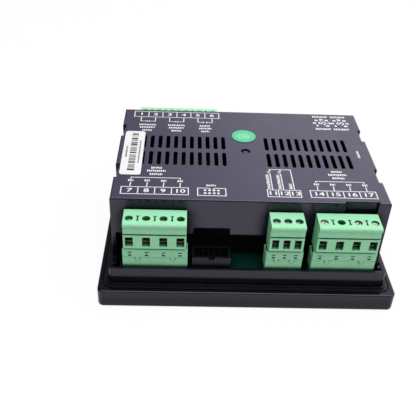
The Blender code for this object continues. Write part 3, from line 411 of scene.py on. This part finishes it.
class Print:
    """Flat marks collected into one mesh. Places are in millimetres on the printed face."""

    def __init__(self, level, down=False):
        self.level = level
        self.down = down
        self.bm = bmesh.new()

    def polygon(self, points):
        ordered = reversed(points) if self.down else points
        self.bm.faces.new([self.bm.verts.new((x * MM, y * MM, self.level)) for x, y in ordered])

    def bar(self, x0, x1, y0, y1):
        self.polygon([(x0, y0), (x1, y0), (x1, y1), (x0, y1)])

    def line(self, points, width=LINE, closed=False):
        """A mitred line through the points."""
        count = len(points)
        sides = []
        for i, (x, y) in enumerate(points):
            before = points[i - 1] if i or closed else None
            after = points[(i + 1) % count] if i + 1 < count or closed else None
            steps = [Vector((x - before[0], y - before[1])).normalized()] if before else []
            steps += [Vector((after[0] - x, after[1] - y)).normalized()] if after else []
            normals = [Vector((-s.y, s.x)) for s in steps]
            across = sum(normals, Vector((0, 0))).normalized()
            reach = width / 2 / max(0.4, across.dot(normals[0]))
            side_x, side_y = across.x * reach, across.y * reach
            sides.append(((x - side_x, y - side_y), (x + side_x, y + side_y)))
        for i in range(count if closed else count - 1):
            right_here, left_here = sides[i]
            right_next, left_next = sides[(i + 1) % count]
            self.polygon([right_here, right_next, left_next, left_here])

    def outline(self, left, right, low, high, width=LINE):
        self.line([(left, low), (right, low), (right, high), (left, high)], width, closed=True)

    def dot(self, x, y, radius):
        self.polygon(around(x, y, radius, 16))

    def ring(self, x, y, radius, width, steps=48):
        self.line(around(x, y, radius, steps), width, closed=True)

    def dashes(self, x0, x1, y, height, upright=False):
        """A row of small plain blocks of mixed widths and heights."""
        spans = ((0.0, 1.0), (0.12, 0.88), (0.0, 1.0), (0.2, 1.0), (0.0, 0.8))
        widths = (0.62, 0.84, 0.40, 0.72, 0.55)
        gap = 0.30
        narrowest = 0.2
        at = x0
        k = 0
        while at < x1 - narrowest:
            end = min(at + widths[k % len(widths)], x1)
            bottom, top = spans[k % len(spans)]
            low, high = y + height * (bottom - 0.5), y + height * (top - 0.5)
            self.bar(*((low, high, at, end) if upright else (at, end, low, high)))
            at = end + gap
            k += 1

    def number(self, text, x, y, size, weight, stretch):
        """Upright digits centred on the place, widened by the stretch."""
        curve = bpy.data.curves.new("digits", "FONT")
        curve.body = str(text)
        curve.size = size * MM
        curve.align_x = "CENTER"
        curve.align_y = "CENTER"
        curve.offset = weight * size * MM
        curve.resolution_u = 3
        shape = bpy.data.objects.new("digits", curve)
        bpy.context.scene.collection.objects.link(shape)
        mesh = bpy.data.meshes.new_from_object(shape.evaluated_get(bpy.context.evaluated_depsgraph_get()))
        shift = Matrix.Translation((x * MM, y * MM, self.level))
        mesh.transform(shift @ Matrix.Diagonal((stretch, 1, 1, 1)))
        self.bm.from_mesh(mesh)
        bpy.data.objects.remove(shape)
        bpy.data.curves.remove(curve)
        bpy.data.meshes.remove(mesh)

    def finish(self, name, material):
        add_piece(name, self.bm, material)


def terminal_boxes(p, first, left, pitch, ways, low, high):
    """A framed cell with a number for each pole."""
    p.outline(left, left + pitch * ways, low, high)
    for k in range(1, ways):
        x = left + k * pitch
        p.bar(x - LINE / 2, x + LINE / 2, low, high)
    for k in range(ways):
        p.number(first + k, left + (k + 0.5) * pitch, (low + high) / 2, **DIGITS)


def voltage_inputs(p, left, pitch, ways, box_top):
    """A bracket over the cells, a stub and a mark for each pole, and three rows of blocks above."""
    centres = [left + (k + 0.5) * pitch for k in range(ways)]
    first, last = centres[0], centres[-1]
    rail = box_top + 7.8
    tip = rail - 1.2
    p.line([(first, tip), (first, rail), (last, rail), (last, tip)])
    mark_half = 1.2
    for x in centres:
        p.line([(x, box_top), (x, box_top + 2.2), (x + 0.2, box_top + 2.7), (x, box_top + 3.9)])
        p.dashes(x - mark_half, x + mark_half, box_top + 5.3, 1.7)
    middle = (first + last) / 2
    for half, rise in ((2.5, 16.4), (4.4, 13.7), (2.95, 10.8)):
        p.dashes(middle - half, middle + half, box_top + rise, WORD_HEIGHT)


def output_contacts(p, left, pitch, box_bottom):
    """Under each pair of cells: a bracket that holds an open contact, and rows of blocks."""
    rail = box_bottom - 4.8
    wide_rows = ((4.4, 8.7), (3.9, 11.5), (2.5, 14.6))
    narrow_rows = ((2.8, 8.7), (3.2, 11.5), (2.1, 14.6))
    # half the gap, then the arrowheads' points and bases as shares of it, then the rows
    pairs = (
        (0.78, 1.5, 0.35, wide_rows),
        (0.80, 1.5, 0.35, wide_rows),
        (0.72, 0.4, 1.6, narrow_rows),
    )
    for pair, (gap, point_share, base_share, rows) in enumerate(pairs):
        start = left + (2 * pair + 0.5) * pitch
        end = start + pitch
        middle = (start + end) / 2
        p.line([(start, box_bottom), (start, rail), (middle - gap - 0.4, rail)])
        p.line([(end, box_bottom), (end, rail), (middle + gap + 0.4, rail)])
        for side in (-1, 1):
            point = middle + side * gap * point_share
            base = middle + side * gap * base_share
            faces_up = 1 if base < point else -1
            p.polygon([(base, rail - 1.0), (point, rail), (base, rail + 1.0)][::faces_up])
        for half, drop in rows:
            p.dashes(middle - half, middle + half, box_bottom - drop, WORD_HEIGHT)


def start_inputs(p, left, pitch, box_top):
    """Two switches with their common line, as contacts 11, 12 and 13."""
    first, second, third = [left + (k + 0.5) * pitch for k in range(3)]
    rail = -16.1
    tip = rail - 1.2
    pivot = rail - 1.7
    words = {"height": 1.6, "upright": True}
    p.line([(first, tip), (first, rail), (third, rail), (third, box_top)])
    p.line([(second, rail), (second, tip)])
    for x in (first, second):
        p.dot(x, pivot, 0.5)
        p.line([(x - 1.3, rail - 1.9), (x, rail - 3.8), (x, box_top)])
        p.dashes(box_top + 1.0, rail - 4.6, x - 1.5, **words)
    p.dashes(box_top + 1.0, box_top + 5.5, third - 1.5, **words)


def link_box(p):
    """The outline of the link header with its notch and eight pins."""
    left, right, low, high = -24.2, -11.4, -39.1, -33.2
    notch_left, notch_right, notch_low = -18.9, -16.6, -34.2
    notch_slope = 0.5
    pin_half = 0.58
    p.line([(notch_left, high), (left, high), (left, low), (right, low), (right, high), (notch_right, high)])
    p.line([(notch_left, high), (notch_left + notch_slope, notch_low)])
    p.line([(notch_right, high), (notch_right - notch_slope, notch_low)])
    for x in (-20.85, -18.80, -16.75, -14.80):
        for y in (-34.95, -37.2):
            p.bar(x - pin_half, x + pin_half, y - pin_half, y + pin_half)
    p.dashes(-20.2, -15.7, -30.95, 1.5)


def dial(p, x, y):
    """A turned dial: numbers round a slotted knob mark, and a row of blocks over and under it."""
    places = ((-3.0, -2.9), (-4.35, -0.1), (-3.0, 3.0), (-0.2, 3.9), (2.7, 3.1), (3.7, -0.1), (2.5, -2.9))
    for text, (dx, dy) in zip(DIAL_NUMBERS, places):
        p.number(text, x + dx, y + dy, **DIAL_DIGITS)
    knob_radius, knob_line, slot_line = 1.75, 0.62, 0.75
    for start, end in ((100, 235), (-80, 55)):
        steps = 10
        arc = [math.radians(start + (end - start) * k / steps) for k in range(steps + 1)]
        p.line([(x + knob_radius * math.cos(a), y + knob_radius * math.sin(a)) for a in arc], knob_line)
    p.line([(x - 1.45, y - 1.5), (x + 1.2, y + 1.75)], slot_line)
    p.dashes(x - 4.5, x + 4.1, y + 7.1, 2.1)
    p.dashes(x - 4.6, x + 4.0, y - 6.5, 2.1)


def roof_print():
    p = Print(PRINT_Z)
    far_left, left, middle, right = -58.05, -58.95, 7.75, 27.5
    far_low, near_low, near_high = 34.0, -38.9, -33.3
    terminal_boxes(p, 1, far_left, WIDE_PITCH, 6, far_low, 40.1)
    output_contacts(p, far_left, WIDE_PITCH, far_low)
    terminal_boxes(p, 7, left, WIDE_PITCH, 4, near_low, near_high)
    voltage_inputs(p, left, WIDE_PITCH, 4, near_high)
    terminal_boxes(p, 11, middle, NARROW_PITCH, 3, near_low, -33.4)
    start_inputs(p, middle, NARROW_PITCH, -33.4)
    terminal_boxes(p, 14, right, WIDE_PITCH, 4, -38.7, near_high)
    voltage_inputs(p, right, WIDE_PITCH, 4, near_high)
    link_box(p)
    for x in (44.0, 53.85):
        dial(p, x, 31.9)
    p.dashes(-3.4, 3.3, 56.9, 1.35, upright=True)
    p.finish("roof_print", ink("white_ink", (0.90, 0.90, 0.93)))


def label_print():
    """Plain bars of mixed widths down the middle, and two thin columns of blocks."""
    low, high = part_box("serial_label")
    x0, x1 = low.x / MM, high.x / MM
    y0, y1 = low.y / MM, high.y / MM
    p = Print(LABEL_PRINT_Z)
    bars = (0.6, 1.1, 0.45, 1.5, 0.6, 0.5, 0.9, 1.7, 0.6, 1.1, 0.5, 0.7, 1.4, 0.5, 0.8)
    gaps = (0.45, 0.8, 1.3, 0.5, 0.4, 0.8, 0.5, 0.6, 1.1, 0.5)
    at = y1 - 2.2
    k = 0
    while at - bars[k % len(bars)] > y0 + 2.0:
        p.bar(x0 + 3.5, x1 - 3.3, at - bars[k % len(bars)], at)
        at -= bars[k % len(bars)] + gaps[k % len(gaps)]
        k += 1
    p.dashes(y0 + 15.6, y1 - 15.6, x0 + 1.9, 1.0, upright=True)
    p.dashes(y0 + 10.4, y1 - 9.5, x1 - 1.9, 0.8, upright=True)
    p.finish("label_bars", ink("grey_ink", (0.06, 0.055, 0.065)))


def sticker_print():
    """Three short rows of pale blocks across the middle."""
    low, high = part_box("inspection_sticker")
    x, y = (low.x + high.x) / 2 / MM, (low.y + high.y) / 2 / MM
    p = Print(STICKER_PRINT_Z)
    for half, rise in ((2.3, 2.0), (3.6, 0.0), (2.6, -2.0)):
        p.dashes(x - half, x + half, y + rise, 0.9)
    p.finish("sticker_rows", ink("pale_green_ink", (0.62, 0.88, 0.74)))


def overlay_print():
    """Rings round the keys, and two framed fields with a ring and a mark for each lamp."""
    keys, key_pitch, key_row, key_ring = 4, 21, 34, 6.7
    lamps, lamp_pitch, lamp_ring, mark_half = 6, 17.5, 2.1, 2.6
    field_half = 55
    p = Print(OVERLAY_PRINT_Z, down=True)
    for k in range(keys):
        p.ring((k - (keys - 1) / 2) * key_pitch, key_row, key_ring, 0.45)
    for y in (-30, -6):
        for k in range(lamps):
            x = (k - (lamps - 1) / 2) * lamp_pitch
            p.ring(x, y, lamp_ring, 0.25, steps=32)
            p.dashes(x - mark_half, x + mark_half, y + 5.2, 1.1)
        p.outline(-field_half, field_half, y - 6.5, y + 9.0, 0.3)
    p.finish("overlay_marks", ink("overlay_ink", (0.72, 0.73, 0.75)))


# Small parts inside

def capacitor(bm, x, y, radius, height, steps=20):
    """A radial capacitor: crimped low down, rolled over at the top, with a scored cap."""
    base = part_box("main_board")[1].z
    profile = ((0.90, 0.0), (1.0, 0.05), (1.0, 0.16), (0.93, 0.20), (1.0, 0.24), (1.0, 0.94), (0.93, 0.99),
               (0.80, 1.0), (0.76, 0.98), (0.10, 0.97))
    rings = []
    for out, up in profile:
        circle = around(x * MM, y * MM, out * radius * MM, steps)
        rings.append([bm.verts.new((px, py, base + up * height * MM)) for px, py in circle])
    for low, high in zip(rings, rings[1:]):
        for k in range(steps):
            bm.faces.new((low[k], low[(k + 1) % steps], high[(k + 1) % steps], high[k]))
    bm.faces.new(rings[-1])
    bm.faces.new(list(reversed(rings[0])))


def smoothing_capacitors():
    """Thin, wide and low capacitors on the main board, along the inside of the far wall."""
    tall, short = 20, 8
    bm = bmesh.new()
    for k in range(9):
        capacitor(bm, -13.2 - 5.0 * k, 38.1, 2.2, tall, steps=16)
    for x in (-6.4, 2.0):
        capacitor(bm, x, 36.2, 4.0, tall)
    for k in range(7):
        capacitor(bm, 9.8 + 7.6 * k, 36.6, 3.65, short)
    for face in bm.faces:
        face.smooth = True
    sleeve = moulding("capacitor_sleeve", (0.003, 0.003, 0.004), (0.006, 0.006, 0.007), 0.85)
    add_piece("smoothing_capacitors", bm, sleeve.material)


def insulation_barrier():
    """A folded near-black sheet that stands on the main board behind the near terminals."""
    half_length = 59.2 * MM
    sheet = 0.4 * MM
    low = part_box("main_board")[1].z + 0.1 * MM
    high = 38 * MM
    front = -38.6 * MM
    back = front + sheet
    lip = -35.2 * MM
    profile = ((front, low), (front, high), (lip, high), (lip, high - sheet), (back, high - sheet), (back, low))
    count = len(profile)
    bm = bmesh.new()
    left, right = [[bm.verts.new((x, y, z)) for y, z in profile] for x in (-half_length, half_length)]
    for k in range(count):
        bm.faces.new((left[k], left[(k + 1) % count], right[(k + 1) % count], right[k]))
    bm.faces.new(list(reversed(left)))
    bm.faces.new(right)
    bmesh.ops.recalc_face_normals(bm, faces=bm.faces)
    barrier_black = moulding("black_barrier_sheet", (0.0010, 0.0010, 0.0013), (0.0020, 0.0020, 0.0025), 0.85)
    barrier_black.specular(0.15)
    add_piece("insulation_barrier", bm, barrier_black.material)


# Studio and camera

def white_world():
    """White all round and behind the object, and dimmer above the viewer, where a backdrop ends."""
    world = bpy.data.worlds.new("studio")
    bpy.context.scene.world = world
    world.use_nodes = True
    n = Nodes(world.node_tree)
    background = n.tree.nodes["Background"]
    background.inputs["Color"].default_value = (1, 1, 1, 1)
    path = n.node("ShaderNodeLightPath").outputs
    towards = n.node("ShaderNodeTexCoord").outputs["Generated"]
    behind = n.math("ADD", n.math("MULTIPLY", n.axis("Y", towards), 0.5), n.axis("X", towards))
    mirrored = n.remap(behind, 0.27, 0.56, 0.12, 1.0)
    seen = n.math("MAXIMUM", path["Is Camera Ray"], path["Is Transmission Ray"])
    strength = n.blend(seen, n.blend(path["Is Glossy Ray"], WORLD_LIGHT, mirrored), 1.0)
    n.link(strength, background.inputs["Strength"])


def floor():
    """White where it is looked at, with the object's shadow, and a paler bounce than a mirror's."""
    m = Shader("floor_white", roughness=0.9)
    m.specular(0.0)
    m.color((FLOOR_BOUNCE, FLOOR_BOUNCE, FLOOR_BOUNCE))
    shaded = m.node("ShaderNodeBsdfDiffuse")
    shaded.inputs["Color"].default_value = (0.93, 0.93, 0.93, 1)
    glow = m.node("ShaderNodeEmission")
    shown = m.node("ShaderNodeMixShader")
    shown.inputs["Fac"].default_value = FLOOR_GLOW
    m.link(shaded.outputs[0], shown.inputs[1])
    m.link(glow.outputs[0], shown.inputs[2])
    path = m.node("ShaderNodeLightPath").outputs
    seen = m.math("MAXIMUM", path["Is Camera Ray"], path["Is Glossy Ray"])
    seen = m.math("MAXIMUM", seen, path["Is Transmission Ray"])
    whole = m.node("ShaderNodeMixShader")
    m.link(seen, whole.inputs["Fac"])
    m.link(m.bsdf.outputs[0], whole.inputs[1])
    m.link(shown.outputs[0], whole.inputs[2])
    m.link(whole.outputs[0], m.tree.nodes["Material Output"].inputs["Surface"])
    bm = bmesh.new()
    bmesh.ops.create_grid(bm, x_segments=1, y_segments=1, size=FLOOR_HALF_SIDE)
    plane = add_object("floor", bm, m.material)
    plane.location.z = -0.05 * MM


def area_light(name, place, size, power):
    data = bpy.data.lights.new(name, "AREA")
    data.shape = "RECTANGLE"
    data.size, data.size_y = size
    data.energy = power
    light = bpy.data.objects.new(name, data)
    bpy.context.scene.collection.objects.link(light)
    light.location = place
    light.rotation_euler = (Vector(LAMP_TARGET) - Vector(place)).to_track_quat("-Z", "Y").to_euler()


def camera():
    data = bpy.data.cameras.new("photo_camera")
    data.sensor_width = SENSOR
    data.lens = LENS
    data.clip_start = 0.01
    data.clip_end = 20
    eye = bpy.data.objects.new("photo_camera", data)
    bpy.context.scene.collection.objects.link(eye)
    yaw, pitch, roll = (math.radians(a) for a in YAW_PITCH_ROLL)
    turn = Matrix.Rotation(yaw, 4, "Z") @ Matrix.Rotation(pitch, 4, "X") @ Matrix.Rotation(roll, 4, "Y")
    level_view = Matrix.Rotation(math.pi / 2, 4, "X")
    eye.matrix_world = Matrix.Translation(EYE) @ turn @ level_view
    bpy.context.scene.camera = eye


def studio():
    white_world()
    floor()
    area_light("overhead", place=(0.19, -0.16, 1.15), size=(1.3, 1.2), power=14.4)
    area_light("back_right", place=(0.65, 1.26, 0.62), size=(1.3, 0.6), power=1.85)
    bpy.context.scene.view_settings.view_transform = "Standard"
    camera()


dress_nodes()
roof_print()
label_print()
sticker_print()
overlay_print()
smoothing_capacitors()
insulation_barrier()
studio()
